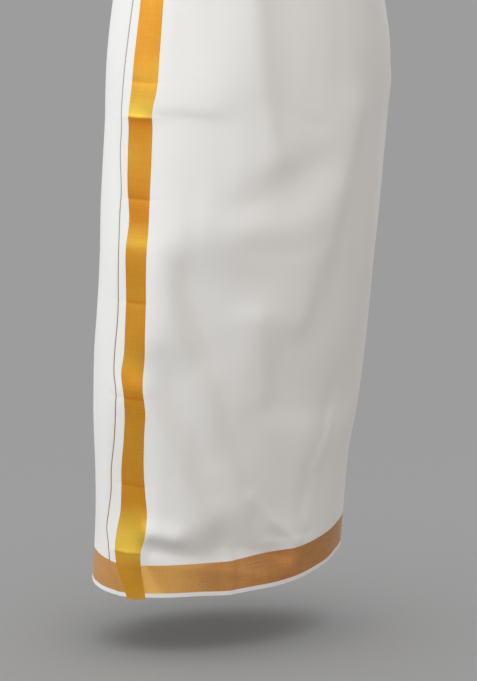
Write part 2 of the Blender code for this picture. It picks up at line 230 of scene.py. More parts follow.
# How the stiffer end band waves out and in as it hangs
BAND_WAVE_COLUMNS = ("drop", "out")
BAND_WAVES = (
    (0.000, 0.0000),
    (0.100, -0.0010),
    (0.242, 0.0025),
    (0.350, -0.0015),
    (0.405, -0.0010),
    (0.420, 0.0004),
    (0.500, -0.0008),
    (0.600, -0.0002),
    (0.615, 0.0003),
    (0.700, -0.0015),
    (0.800, -0.0025),
    (0.853, 0.0045),
    (0.923, 0.0000),
)
BAND_WAVE_CENTRE = -46.0
BAND_WAVE_REACH = 15.0

# Painted highlights and shade down the end band: the metallic thread's brightness at each drop, bright where
# its creases and waves would catch the light and dark where they turn from it
BAND_PAINTED_LIGHT_COLUMNS = ("drop", "tone")
BAND_PAINTED_LIGHT = (
    (0.000, 0.20),
    (0.160, 0.18),
    (0.217, 0.52),
    (0.231, 0.85),
    (0.245, 1.00),
    (0.248, 0.00),
    (0.262, 0.10),
    (0.300, 0.30),
    (0.350, 0.10),
    (0.385, 0.05),
    (0.405, 0.35),
    (0.418, 0.55),
    (0.430, 0.20),
    (0.450, 0.16),
    (0.530, 0.20),
    (0.560, 0.24),
    (0.588, 0.36),
    (0.602, 0.18),
    (0.622, 0.12),
    (0.680, 0.24),
    (0.720, 0.24),
    (0.752, 0.16),
    (0.785, 0.18),
    (0.805, 0.50),
    (0.830, 0.90),
    (0.853, 0.95),
    (0.857, 0.60),
    (0.875, 0.25),
    (0.923, 0.36),
)

# Painted light and shade round the hem band: its brightness round the hem, with one painted highlight, a bright
# streak slanting across it by the end band
HEM_PAINTED_LIGHT_COLUMNS = ("angle", "tone")
HEM_PAINTED_LIGHT = (
    (-90.0, 0.47),
    (-52.0, 0.46),
    (-36.0, 0.70),
    (-20.0, 0.67),
    (-10.0, 0.54),
    (-2.0, 0.36),
    (12.0, 0.29),
    (34.0, 0.28),
    (50.0, 0.28),
    (90.0, 0.28),
    (135.0, 0.39),
    (180.0, 0.28),
    (225.0, 0.43),
    (270.0, 0.47),
)
HEM_PAINTED_HIGHLIGHT = {"top_angle": -36.0, "bottom_angle": -29.5, "top_width": 2.0, "bottom_width": 4.5, "tone": 0.42}

# Paleness of the edge thread down the free edge
THREAD_TONE_COLUMNS = ("drop", "tone")
THREAD_TONES = ((0.0, 1.0), (0.35, 0.9), (0.60, 0.25), (PLAIN_DROP, 0.1))

# The waist roll's section: distance out from the inner layer's middle, height above the wall's top edge
ROLL_COLUMNS = ("out", "up")
ROLL_SECTION = (
    (-0.0012, 0.0002),
    (-0.0016, 0.0120),
    (-0.0006, 0.0230),
    (0.0030, 0.0265),
    (0.0075, 0.0240),
    (0.0100, 0.0140),
    (0.0100, 0.0020),
    (0.0088, -0.0085),
    (0.0066, -0.0115),
    (0.0048, -0.0090),
    (0.0045, 0.0002),
)

# Relief of the roll in metres: creases, slow swells, grooves where its turns end, and the tuck's pleats.
# The grooves' heights are above the wall's top edge, and the tuck's place and reach are in degrees.
ROLL_RELIEF = {
    "creases": 0.0006,
    "swells": 0.0010,
    "groove": -0.0013,
    "groove_height": 0.0060,
    "groove_sway": 0.0020,
    "groove_width": 0.0012,
    "upper_groove": -0.0009,
    "upper_groove_height": 0.0190,
    "upper_groove_sway": 0.0015,
    "upper_groove_width": 0.0010,
    "tuck_place": 9.0,
    "tuck_reach": 7.0,
    "tuck_depth": 0.0022,
    "pleat_depth": 0.0010,
}

# The camera stands as the photographer did: the frame is 477 by 681 pixels
CAMERA_PLACE = (-0.014, -3.62, 0.06)
CAMERA_PITCH = 10.2
FRAME_HEIGHT_PIXELS = 681.0
FOCAL_PIXELS = 2600.0
SENSOR_HEIGHT = 24.0
FLOOR_HEIGHT = -1.020
FLOOR_REACH = 80.0
LIGHT_DISTANCE = 4.2
LIGHT_SIZE = 2.2
LIT_HEIGHT = -0.45


# Reading the tables

def smooth_columns(columns, table, at):
    """A table's columns by name at the given places of its first column: cubic pieces with the slopes of a
    Catmull-Rom curve."""
    rows = np.array(table, dtype=float)
    rows = rows[np.argsort(rows[:, 0])]
    places = rows[:, 0]
    values = rows[:, 1:]
    slopes = np.gradient(values, places, axis=0)
    at = np.clip(np.asarray(at, dtype=float), places[0], places[-1])
    cell = np.clip(np.searchsorted(places, at, side="right") - 1, 0, len(places) - 2)
    step = (places[cell + 1] - places[cell])[..., None]
    part = ((at - places[cell])[..., None]) / step
    low, high = values[cell], values[cell + 1]
    low_slope, high_slope = slopes[cell] * step, slopes[cell + 1] * step
    blend = (
        low * (2 * part**3 - 3 * part**2 + 1)
        + low_slope * (part**3 - 2 * part**2 + part)
        + high * (3 * part**2 - 2 * part**3)
        + high_slope * (part**3 - part**2)
    )
    return {column: blend[..., one] for one, column in enumerate(columns[1:])}


def straight_column(columns, table, at):
    """A table's second column at the given places of its first, straight between rows."""
    rows = dict(zip(columns, np.transpose(table)))
    return np.interp(at, rows[columns[0]], rows[columns[1]])


def flap_line(drop, column):
    """Wind angle of one of the outer flap's lines at a drop."""
    return smooth_columns(LINE_COLUMNS, LINES, drop)[column]


# The cloth's surface

def hem_height(angle):
    """Height of the hem at a wind angle."""
    turn = np.mod(np.asarray(angle, dtype=float) - HEM[0][0], 360.0) + HEM[0][0]
    rows_before = tuple((place - 360.0, rise) for place, rise in HEM[-2:])
    rows_after = tuple((place + 360.0, rise) for place, rise in HEM[:2])
    return HEM_HEIGHT + smooth_columns(HEM_COLUMNS, rows_before + HEM + rows_after, turn)["rise"]


def height_of(angle, drop):
    """Height of a point: the plain cloth is stretched evenly to the hem band, and the band keeps its depth."""
    band_top = hem_height(angle) + HEM_BAND + SELVEDGE
    above = TOP + (band_top - TOP) * drop / PLAIN_DROP
    below = band_top - (drop - PLAIN_DROP)
    return np.where(drop < PLAIN_DROP, above, below)


def angle_from(angle, place):
    """Degrees from a place to a wind angle, the short way round."""
    return np.mod(angle - place + 180.0, 360.0) - 180.0


def bent_line(start, lean, end):
    """Points along a line that starts at one value, leans towards a second and ends at a third."""
    steps = np.linspace(0.0, 1.0, FOLD_PATH_STEPS + 1)
    return (1 - steps) ** 2 * start + 2 * steps * (1 - steps) * lean + steps**2 * end


def fold_offset(folds, angle, height):
    """Sum over the folds of depth * exp(-(distance to the fold's bent line / width)^2). The width goes from the
    left one to the right one with the sine of the angle between the line and the way to the point."""
    total = np.zeros(np.broadcast(angle, height).shape)
    for row in folds.values():
        fold = dict(zip(FOLD_COLUMNS, row))
        path_a = bent_line(fold["start_angle"], fold["lean_angle"], fold["end_angle"])
        path_h = bent_line(fold["start_height"], fold["lean_height"], fold["end_height"])
        nearest = np.full(total.shape, 1e9)
        side = np.zeros(total.shape)
        for one in range(FOLD_PATH_STEPS):
            across = angle_from(angle, path_a[one]) * ARC_PER_DEGREE
            up = height - path_h[one]
            run_a = (path_a[one + 1] - path_a[one]) * ARC_PER_DEGREE
            run_h = path_h[one + 1] - path_h[one]
            along = np.clip((across * run_a + up * run_h) / (run_a**2 + run_h**2), 0.0, 1.0)
            gap_a, gap_h = across - along * run_a, up - along * run_h
            squared = gap_a**2 + gap_h**2
            sine = (run_a * gap_h - run_h * gap_a) / np.sqrt((run_a**2 + run_h**2) * squared + 1e-12)
            closer = squared < nearest
            nearest = np.where(closer, squared, nearest)
            side = np.where(closer, sine, side)
        left, right = fold["left_width"], fold["right_width"]
        width = (left + right) / 2 + side * (right - left) / 2
        total += fold["depth"] * np.exp(-nearest / width**2)
    return total


def packing_offset(angle, drop):
    """Sum of sharp-topped creases across the cloth, out * exp(-|distance| / width), strongest at the band."""
    near = np.exp(-((angle_from(angle, BAND_WAVE_CENTRE) / PACKING_REACH) ** 2))
    strength = PACKING_LEFT_OVER + (1 - PACKING_LEFT_OVER) * near
    total = 0.0
    for row in PACKING_CREASES:
        crease = dict(zip(PACKING_COLUMNS, row))
        total = total + crease["out"] * np.exp(-np.abs(drop - crease["drop"]) / crease["width"])
    return strength * total


def band_offset(angle, drop):
    """The end band's slow waves, which die away to both sides of it."""
    out = smooth_columns(BAND_WAVE_COLUMNS, BAND_WAVES, drop)["out"]
    return out * np.exp(-((angle_from(angle, BAND_WAVE_CENTRE) / BAND_WAVE_REACH) ** 2))


def slack_offset(angle, height):
    """Low uneven waves of slack cotton: three crossed sines that bend each other."""
    turn = np.radians(angle)
    slow = np.sin(5.0 * turn + 9.0 * height + 1.3 * np.sin(7.0 * height + 2.0 * turn))
    leaning = np.sin(11.0 * turn - 17.0 * height + 1.7 * np.sin(3.0 * turn + 11.0 * height))
    small = np.sin(23.0 * turn + 31.0 * height + 2.1 * np.sin(5.0 * turn - 19.0 * height))
    return SLACK["slow"] * slow + SLACK["leaning"] * leaning + SLACK["small"] * small


def gather_offset(angle, drop):
    """Gathers that fall from the waist roll and fade: uneven sines round the waist."""
    turn = np.radians(angle)
    broad = np.sin(31.0 * turn + 2.0 * np.sin(5.0 * turn))
    narrow = np.sin(53.0 * turn + 1.5 * np.sin(7.0 * turn))
    return GATHER_DEPTH * (broad + 0.6 * narrow) * np.exp(-drop / GATHER_FALL)


def layer_offset(angle, layer_step):
    """How far out a wind angle lies: the outer layer comes in to the inner one round the back."""
    part = np.clip((np.asarray(angle) - STEP_IN[0]) / (STEP_IN[1] - STEP_IN[0]), 0.0, 1.0)
    return layer_step * (1.0 - part**2 * (3.0 - 2.0 * part))


def section_point(angle, height, out):
    """A point of the section at a height: an ellipse whose +X side may lie further back, moved along its
    own level normal by the distance out."""
    level = smooth_columns(LEVEL_COLUMNS, LEVELS, height)
    turn = np.radians(angle)
    x = level["centre_x"] + level["half_width"] * np.sin(turn)
    y = level["centre_y"] + level["skew"] * np.sin(turn) - level["half_depth"] * np.cos(turn)
    run_x = level["half_width"] * np.cos(turn)
    run_y = level["skew"] * np.cos(turn) + level["half_depth"] * np.sin(turn)
    length = np.hypot(run_x, run_y)
    return np.stack([x + out * run_y / length, y - out * run_x / length, height + 0.0 * x], axis=-1)


def cloth_surface(angle, drop, form, lift=0.0):
    """The outer face of the cloth: the section moved out by its layer, folds, creases, slack and gathers."""
    height = height_of(angle, drop)
    out = (
        layer_offset(angle, form.layer_step)
        + SOLID_WALL / 2
        + form.fold_strength * fold_offset(LARGE_FOLDS, angle, height)
        + form.crease_strength * fold_offset(FINE_CREASES, angle, height)
        + form.crease_strength * packing_offset(angle, drop)
        + band_offset(angle, drop)
        + slack_offset(angle, height)
        + gather_offset(angle, drop)
        + lift
    )
    return section_point(angle, height, out)


# Making meshes

def even_steps(start, end, size):
    """Places from start to end, evenly spaced by about the given size."""
    return np.linspace(start, end, max(2, int(round(abs(end - start) / size)) + 1))


def body_drops(row_size):
    """Drops of the plain cloth's rows: even rows, with closer ones at each packing crease."""
    rows = list(even_steps(0.0, PLAIN_DROP, row_size))
    for place, _, width in PACKING_CREASES:
        rows += [place + width * part for part in (-0.6, -0.2, 0.0, 0.2, 0.6)]
    rows = np.unique(np.round(rows, 5))
    kept = [rows[0]]
    creases = {round(place, 5) for place, _, _ in PACKING_CREASES}
    for row in rows[1:-1]:
        if row - kept[-1] > 0.0010 or round(row, 5) in creases:
            kept.append(row)
    kept.append(rows[-1])
    return np.array(kept)


def wound_angles(drop):
    """Wind angles of a grid from the end band, once round the body, to the cloth's inner end."""
    start = flap_line(drop, "band_end")
    fixed = np.concatenate([
        even_steps(-24.0, 80.0, FRONT_COLUMN),
        even_steps(80.0, 300.0, BACK_COLUMN)[1:],
        even_steps(300.0, INNER_END, INNER_COLUMN)[1:],
    ])
    near = np.linspace(0.0, 1.0, 13)[None, :-1]
    first = start[:, None] * (1 - near) + fixed[0] * near
    return np.concatenate([first, np.broadcast_to(fixed, (len(drop), len(fixed)))], axis=1)


def strip_angles(start, end, columns):
    """Wind angles of a grid between two lines down the flap."""
    along = np.linspace(0.0, 1.0, columns + 1)[None, :]
    return start[:, None] * (1 - along) + end[:, None] * along


def margin_angles(drop):
    """Wind angles of a grid from the free edge to the end band."""
    return strip_angles(flap_line(drop, "free_edge"), flap_line(drop, "band_start"), MARGIN_COLUMNS)


def grid_normals(points):
    """Unit normals of a grid from its neighbours' differences, pointing out of the cloth."""
    down = np.gradient(points, axis=0)
    across = np.gradient(points, axis=1)
    normal = np.cross(down, across)
    return normal / np.linalg.norm(normal, axis=-1, keepdims=True)


def grid_quads(rows, columns, first, flip):
    """Faces of a grid of points, row after row down the cloth."""
    corner = first + np.arange(rows - 1)[:, None] * columns + np.arange(columns - 1)[None, :]
    quads = np.stack([corner, corner + columns, corner + columns + 1, corner + 1], axis=-1).reshape(-1, 4)
    return quads[:, ::-1] if flip else quads


def rim_quads(rows, columns, inner_first):
    """Faces that close a shell's four edges, between its outer and its inner grid."""
    top = np.arange(columns)
    right = np.arange(rows) * columns + columns - 1
    bottom = (rows - 1) * columns + np.arange(columns)[::-1]
    left = np.arange(rows)[::-1] * columns
    ring = np.concatenate([top[:-1], right[:-1], bottom[:-1], left[:-1]])
    after = np.roll(ring, -1)
    return np.stack([ring, after, after + inner_first, ring + inner_first], axis=-1)


def mesh_piece(name, points, quads, cloth_uv, values, material):
    """A smooth object from points and quads, with cloth coordinates in metres and named point values."""
    mesh = bpy.data.meshes.new(name)
    mesh.vertices.add(len(points))
    mesh.vertices.foreach_set("co", points.astype(np.float32).ravel())
    mesh.loops.add(quads.size)
    mesh.loops.foreach_set("vertex_index", quads.astype(np.int32).ravel())
    mesh.polygons.add(len(quads))
    mesh.polygons.foreach_set("loop_start", (np.arange(len(quads)) * 4).astype(np.int32))
    layer = mesh.uv_layers.new(name="cloth")
    layer.data.foreach_set("uv", cloth_uv[quads.ravel()].astype(np.float32).ravel())
    for value_name, value in values.items():
        attribute = mesh.attributes.new(value_name, "FLOAT", "POINT")
        attribute.data.foreach_set("value", value.astype(np.float32))
    mesh.update(calc_edges=True)
    mesh.validate()
    mesh.shade_smooth()
    mesh.set_sharp_from_angle(angle=np.radians(55.0))
    mesh.materials.append(material)
    piece = bpy.data.objects.new(name, mesh)
    bpy.context.scene.collection.objects.link(piece)
    return piece


def cloth_coordinates(points, drop):
    """Cloth coordinates in metres: along the cloth, measured on the middle row, and down it."""
    middle = points[len(points) // 2]
    along = np.concatenate([[0.0], np.cumsum(np.linalg.norm(np.diff(middle, axis=0), axis=1))])
    grid = np.stack(np.broadcast_arrays(along[None, :], drop[:, None]), axis=-1)
    return grid.reshape(-1, 2)


def shell(name, angles, drop, form, material, thickness, lift=0.0, values=None):
    """A closed thin shell whose outer face is the cloth's surface: the grid, the same grid one thickness
    in along its normals, and the rim between them."""
    points = cloth_surface(angles, drop[:, None] + 0.0 * angles, form, lift)
    inner = points - grid_normals(points) * thickness
    rows, columns = angles.shape
    count = rows * columns
    quads = np.concatenate([
        grid_quads(rows, columns, 0, False),
        grid_quads(rows, columns, count, True),
        rim_quads(rows, columns, count),
    ])
    both = np.concatenate([points.reshape(-1, 3), inner.reshape(-1, 3)])
    cloth_uv = np.tile(cloth_coordinates(points, drop), (2, 1))
    doubled = {key: np.tile(value.ravel(), 2) for key, value in (values or {}).items()}
    return mesh_piece(name, both, quads, cloth_uv, doubled, material)


def crease_shade_mask(drop):
    """How near each drop is to a packing crease, 1 on the crease: the mask of the painted shade in the end
    band's creases.
    """
    total = 0.0
    for place, out, _ in PACKING_CREASES:
        total = total + abs(out) / DEEPEST_CREASE * np.exp(-(((drop - place) / CREASE_MARK_WIDTH) ** 2))
    return np.clip(total, 0.0, 1.0)


def hem_painted_light(angle, drop):
    """The hem band's painted light and shade: its table round the hem, and the painted highlight streak, a bell
    across a slanting line.
    """
    turn = np.mod(angle + 90.0, 360.0) - 90.0
    part = (drop - PLAIN_DROP) / HEM_BAND
    line = HEM_PAINTED_HIGHLIGHT["top_angle"] + part * (HEM_PAINTED_HIGHLIGHT["bottom_angle"] - HEM_PAINTED_HIGHLIGHT["top_angle"])
    width = HEM_PAINTED_HIGHLIGHT["top_width"] + part * (HEM_PAINTED_HIGHLIGHT["bottom_width"] - HEM_PAINTED_HIGHLIGHT["top_width"])
    streak = HEM_PAINTED_HIGHLIGHT["tone"] * np.exp(-(((turn - line) / width) ** 2))
    return straight_column(HEM_PAINTED_LIGHT_COLUMNS, HEM_PAINTED_LIGHT, turn) + streak


# Materials

def new_group(name, inputs, outputs):
    """An empty shader node group with named sockets: (name, socket type, default)."""
    group = bpy.data.node_groups.new(name, "ShaderNodeTree")
    for socket, kind, default in inputs:
        made = group.interface.new_socket(socket, in_out="INPUT", socket_type=kind)
        if default is not None:
            made.default_value = default
    for socket, kind in outputs:
        group.interface.new_socket(socket, in_out="OUTPUT", socket_type=kind)
    start = group.nodes.new("NodeGroupInput")
    end = group.nodes.new("NodeGroupOutput")
    return group, start, end


def feed(tree, socket, value):
    """Give a socket a link from another socket, or a value of its own."""
    if isinstance(value, bpy.types.NodeSocket):
        tree.links.new(value, socket)
    else:
        socket.default_value = value


def put(tree, kind, settings=None, **values):
    """A node with its settings, and its inputs by name as values or as links from sockets."""
    node = tree.nodes.new(kind)
    for key, value in (settings or {}).items():
        setattr(node, key, value)
    for key, value in values.items():
        feed(tree, node.inputs[key], value)
    return node


def maths(tree, operation, first, second=0.0, clamp=False):
    """The value of one Math node."""
    node = put(tree, "ShaderNodeMath", {"operation": operation, "use_clamp": clamp})
    feed(tree, node.inputs[0], first)
    feed(tree, node.inputs[1], second)
    return node.outputs[0]


def plain_weave_group():
    """Plain weave: warp and weft threads, each a half sine across its width, that swap at each crossing."""
    group, start, end = new_group(
        "Plain weave",
        [("Vector", "NodeSocketVector", None), ("Pitch", "NodeSocketFloat", 0.0006)],
        [("Height", "NodeSocketFloat"), ("Crossing", "NodeSocketFloat")],
    )
    split = put(group, "ShaderNodeSeparateXYZ", Vector=start.outputs["Vector"])
    along = maths(group, "DIVIDE", split.outputs["X"], start.outputs["Pitch"])
    down = maths(group, "DIVIDE", split.outputs["Y"], start.outputs["Pitch"])
    warp = maths(group, "ABSOLUTE", maths(group, "SINE", maths(group, "MULTIPLY", along, np.pi)))
    weft = maths(group, "ABSOLUTE", maths(group, "SINE", maths(group, "MULTIPLY", down, np.pi)))
    cells = maths(group, "ADD", maths(group, "FLOOR", along), maths(group, "FLOOR", down))
    over = maths(group, "PINGPONG", cells, 1.0)
    top = maths(group, "MULTIPLY", warp, over)
    under = maths(group, "MULTIPLY", weft, maths(group, "SUBTRACT", 1.0, over))
    group.links.new(maths(group, "ADD", top, under), end.inputs["Height"])
    group.links.new(over, end.inputs["Crossing"])
    return group


def thread_streak_group():
    """Uneven threads: noise drawn out along the cloth and down it, mixed."""
    group, start, end = new_group(
        "Thread streaks",
        [("Vector", "NodeSocketVector", None), ("Length", "NodeSocketFloat", 12.0),
         ("Fineness", "NodeSocketFloat", 700.0)],
        [("Value", "NodeSocketFloat")],
    )
    split = put(group, "ShaderNodeSeparateXYZ", Vector=start.outputs["Vector"])
    values = []
    for long_way, short_way in (("X", "Y"), ("Y", "X")):
        drawn = put(
            group,
            "ShaderNodeCombineXYZ",
            X=maths(group, "MULTIPLY", split.outputs[long_way], start.outputs["Length"]),
            Y=maths(group, "MULTIPLY", split.outputs[short_way], start.outputs["Fineness"]),
            Z=3.0 if long_way == "X" else 7.0,
        )
        noise = put(group, "ShaderNodeTexNoise", Vector=drawn.outputs[0], Scale=1.0, Detail=2.0,
                    Roughness=0.6)
        values.append(noise.outputs["Fac"])
    mean = maths(group, "MULTIPLY", maths(group, "ADD", values[0], values[1]), 0.5)
    group.links.new(mean, end.inputs["Value"])
    return group


def cloudy_group():
    """Slow cloudy variation of a fabric's tone."""
    group, start, end = new_group(
        "Cloudy tone",
        [("Vector", "NodeSocketVector", None), ("Scale", "NodeSocketFloat", 9.0)],
        [("Value", "NodeSocketFloat")],
    )
    noise = put(group, "ShaderNodeTexNoise", Vector=start.outputs["Vector"], Scale=start.outputs["Scale"],
                Detail=3.0, Roughness=0.5)
    group.links.new(noise.outputs["Fac"], end.inputs["Value"])
    return group


def shared_group(name):
    """A shared node group by name, made at its first use."""
    makers = {
        "Plain weave": plain_weave_group,
        "Thread streaks": thread_streak_group,
        "Cloudy tone": cloudy_group,
    }
    return bpy.data.node_groups.get(name) or makers[name]()


def place_group(tree, name, **values):
    """A shared group placed in a material."""
    node = tree.nodes.new("ShaderNodeGroup")
    node.node_tree = shared_group(name)
    for key, value in values.items():
        feed(tree, node.inputs[key], value)
    return node


def fresh_material(name):
    """A material with an empty tree but for its Principled shader and output."""
    material = bpy.data.materials.new(name)
    material.use_nodes = True
    tree = material.node_tree
    return material, tree, tree.nodes["Principled BSDF"]


def mixed(tree, factor, first, second):
    """A colour between two others."""
    node = put(tree, "ShaderNodeMix", {"data_type": "RGBA"})
    feed(tree, node.inputs[0], factor)
    feed(tree, node.inputs[6], first)
    feed(tree, node.inputs[7], second)
    return node.outputs[2]


def cotton_material(look):
    """White cotton: fine plain weave, uneven threads, a cloudy tone and soft sheen."""
    found = bpy.data.materials.get("White cotton")
    if found:
        return found
    material, tree, shader = fresh_material("White cotton")
    cloth = put(tree, "ShaderNodeUVMap", {"uv_map": "cloth"}).outputs["UV"]
    weave = place_group(tree, "Plain weave", Vector=cloth, Pitch=look.thread_pitch)
    streaks = place_group(tree, "Thread streaks", Vector=cloth, Length=14.0, Fineness=620.0)
    clouds = place_group(tree, "Cloudy tone", Vector=cloth, Scale=7.0)
    tone = maths(tree, "ADD", maths(tree, "MULTIPLY", streaks.outputs[0], 0.55),
                 maths(tree, "MULTIPLY", clouds.outputs[0], 0.45))
    colour = mixed(tree, tone, (*look.shade, 1.0), (*look.colour, 1.0))
    tree.links.new(colour, shader.inputs["Base Color"])
    height = maths(tree, "ADD", maths(tree, "MULTIPLY", weave.outputs["Height"], 0.5),
                   maths(tree, "MULTIPLY", streaks.outputs[0], 0.8))
    bump = put(tree, "ShaderNodeBump", Height=height, Strength=look.weave_bump, Distance=0.0002)
    tree.links.new(bump.outputs[0], shader.inputs["Normal"])
    shader.inputs["Roughness"].default_value = 0.9
    shader.inputs["Sheen Weight"].default_value = 0.12
    shader.inputs["Sheen Roughness"].default_value = 0.5
    shader.inputs["Specular IOR Level"].default_value = 0.25
    return material


def zari_material(name, bright, deep, look, metallic, roughness, sheen):
    """Gold zari: metallic weft ribs over the weave, deep to bright by the piece's tone and a cloudy one. On the
    bands the piece's tone is painted light and shade; on the edge thread it is the thread's own colour.
    """
    found = bpy.data.materials.get(name)
    if found:
        return found
    material, tree, shader = fresh_material(name)
    cloth = put(tree, "ShaderNodeUVMap", {"uv_map": "cloth"}).outputs["UV"]
    weave = place_group(tree, "Plain weave", Vector=cloth, Pitch=look.thread_pitch)
    streaks = place_group(tree, "Thread streaks", Vector=cloth, Length=26.0, Fineness=560.0)
    clouds = place_group(tree, "Cloudy tone", Vector=cloth, Scale=16.0)
    split = put(tree, "ShaderNodeSeparateXYZ", Vector=cloth)
    ribs = maths(tree, "SINE", maths(tree, "MULTIPLY", split.outputs["Y"], 2 * np.pi / look.rib_pitch))
    # The tone attribute: painted highlights and shade on the end and hem bands, the thread's own colour on the
    # edge thread
    tone = put(tree, "ShaderNodeAttribute", {"attribute_name": "tone"}).outputs["Fac"]
    cloudy = maths(tree, "MULTIPLY", maths(tree, "SUBTRACT", clouds.outputs[0], 0.5), 0.25)
    tone = maths(tree, "ADD", tone, cloudy)
    uneven = maths(tree, "MULTIPLY", maths(tree, "SUBTRACT", streaks.outputs[0], 0.5), 0.6)
    ribbed = maths(tree, "MULTIPLY", ribs, 0.025)
    factor = maths(tree, "ADD", maths(tree, "ADD", tone, uneven), ribbed, clamp=True)
    colour = mixed(tree, factor, (*deep, 1.0), (*bright, 1.0))
    tree.links.new(colour, shader.inputs["Base Color"])
    height = maths(tree, "ADD", maths(tree, "MULTIPLY", weave.outputs["Height"], 0.4),
                   maths(tree, "MULTIPLY", maths(tree, "ADD", streaks.outputs[0], ribbed), 1.0))
    bump = put(tree, "ShaderNodeBump", Height=height, Strength=look.rib_bump, Distance=0.0003)
    tree.links.new(bump.outputs[0], shader.inputs["Normal"])
    rough = maths(tree, "ADD", roughness, maths(tree, "MULTIPLY", uneven, -0.15))
    tree.links.new(rough, shader.inputs["Roughness"])
    shader.inputs["Metallic"].default_value = metallic
    shader.inputs["Specular IOR Level"].default_value = 0.25
    shader.inputs["Sheen Weight"].default_value = sheen
    return material


def band_material(scene):
    """The end band's gold zari."""
    look = scene.dhoti_zari
    return zari_material("Gold zari", look.bright, look.deep, look, look.metallic, 0.46, 0.0)


def thread_material(scene):
    """The free edge's duller thread."""
    look = scene.dhoti_zari
    return zari_material("Dull gold thread", look.thread_pale, look.thread_deep, look, 0.2, 0.55, 0.0)


def hem_material(scene):
    """The hem bands' paler zari."""
    look = scene.dhoti_zari
    metallic = look.metallic * 0.9
    return zari_material("Pale gold zari", look.hem_bright, look.hem_deep, look, metallic, 0.50, 0.25)


# What a user would change

class DhotiForm(bpy.types.PropertyGroup):
    """How the cloth hangs."""

    thickness: bpy.props.FloatProperty(
        name="Cloth thickness", description="Thickness of the cotton shell",
        default=0.0005, min=0.0002, max=0.0012, precision=5, subtype="DISTANCE", unit="LENGTH")
    layer_step: bpy.props.FloatProperty(
        name="Layer step", description="How far the outer flap lies out from the layer under it",
        default=0.0016, min=0.0008, max=0.004, precision=5, subtype="DISTANCE", unit="LENGTH")
    fold_strength: bpy.props.FloatProperty(
        name="Fold strength", description="Strength of the largest folds, 1 as in the solids",
        default=1.0, min=0.0, max=1.5, subtype="FACTOR")
    crease_strength: bpy.props.FloatProperty(
        name="Crease strength", description="Strength of the finer creases",
        default=1.0, min=0.0, max=2.0, subtype="FACTOR")
    row_size: bpy.props.FloatProperty(
        name="Row size", description="Height of one row of the plain cloth's grid",
        default=0.0050, min=0.003, max=0.02, precision=4, subtype="DISTANCE", unit="LENGTH")


class DhotiCotton(bpy.types.PropertyGroup):
    """The white cotton's finish."""

    colour: bpy.props.FloatVectorProperty(
        name="Colour", description="Colour of the brighter threads", subtype="COLOR",
        size=3, default=(0.878, 0.876, 0.862), min=0.0, max=1.0)
    shade: bpy.props.FloatVectorProperty(
        name="Shade", description="Colour of the duller threads", subtype="COLOR",
        size=3, default=(0.82, 0.812, 0.795), min=0.0, max=1.0)
    thread_pitch: bpy.props.FloatProperty(
        name="Thread pitch", description="Distance from one thread to the next",
        default=0.0006, min=0.0003, max=0.002, precision=5, subtype="DISTANCE", unit="LENGTH")
    weave_bump: bpy.props.FloatProperty(
        name="Weave relief", description="Strength of the weave's relief",
        default=0.25, min=0.0, max=1.0, subtype="FACTOR")


class DhotiZari(bpy.types.PropertyGroup):
    """The gold bands' finish."""

    bright: bpy.props.FloatVectorProperty(
        name="Bright gold", description="Colour of the end band where its thread catches the light",
        subtype="COLOR", size=3, default=(0.86, 0.585, 0.075), min=0.0, max=1.0)
    deep: bpy.props.FloatVectorProperty(
        name="Deep gold", description="Colour of the end band away from the light",
        subtype="COLOR", size=3, default=(0.65, 0.240, 0.012), min=0.0, max=1.0)
    # The hem band's colours at its painted light and at its painted shade, mixed by its tone
    hem_bright: bpy.props.FloatVectorProperty(
        name="Bright hem gold", description="Brighter colour of the hem band",
        subtype="COLOR", size=3, default=(1.0, 0.56, 0.150), min=0.0, max=1.0)
    hem_deep: bpy.props.FloatVectorProperty(
        name="Deep hem gold", description="Deeper colour of the hem band",
        subtype="COLOR", size=3, default=(0.37, 0.131, 0.045), min=0.0, max=1.0)
    thread_pale: bpy.props.FloatVectorProperty(
        name="Pale thread", description="Colour of the edge thread where it is worn pale, at the top",
        subtype="COLOR", size=3, default=(0.42, 0.34, 0.28), min=0.0, max=1.0)
    thread_deep: bpy.props.FloatVectorProperty(
        name="Deep thread", description="Colour of the edge thread lower down",
        subtype="COLOR", size=3, default=(0.40, 0.19, 0.07), min=0.0, max=1.0)
    metallic: bpy.props.FloatProperty(
        name="Metallic", description="Share of metal in the zari thread",
        default=0.40, min=0.0, max=1.0, subtype="FACTOR")
    thread_pitch: bpy.props.FloatProperty(
        name="Thread pitch", description="Distance from one zari thread to the next",
        default=0.0005, min=0.0003, max=0.002, precision=5, subtype="DISTANCE", unit="LENGTH")
    rib_pitch: bpy.props.FloatProperty(
        name="Rib pitch", description="Distance between the ribs that the doubled weft makes",
        default=0.0034, min=0.001, max=0.01, precision=4, subtype="DISTANCE", unit="LENGTH")
    rib_bump: bpy.props.FloatProperty(
        name="Rib relief", description="Strength of the ribs' relief",
        default=0.35, min=0.0, max=1.0, subtype="FACTOR")


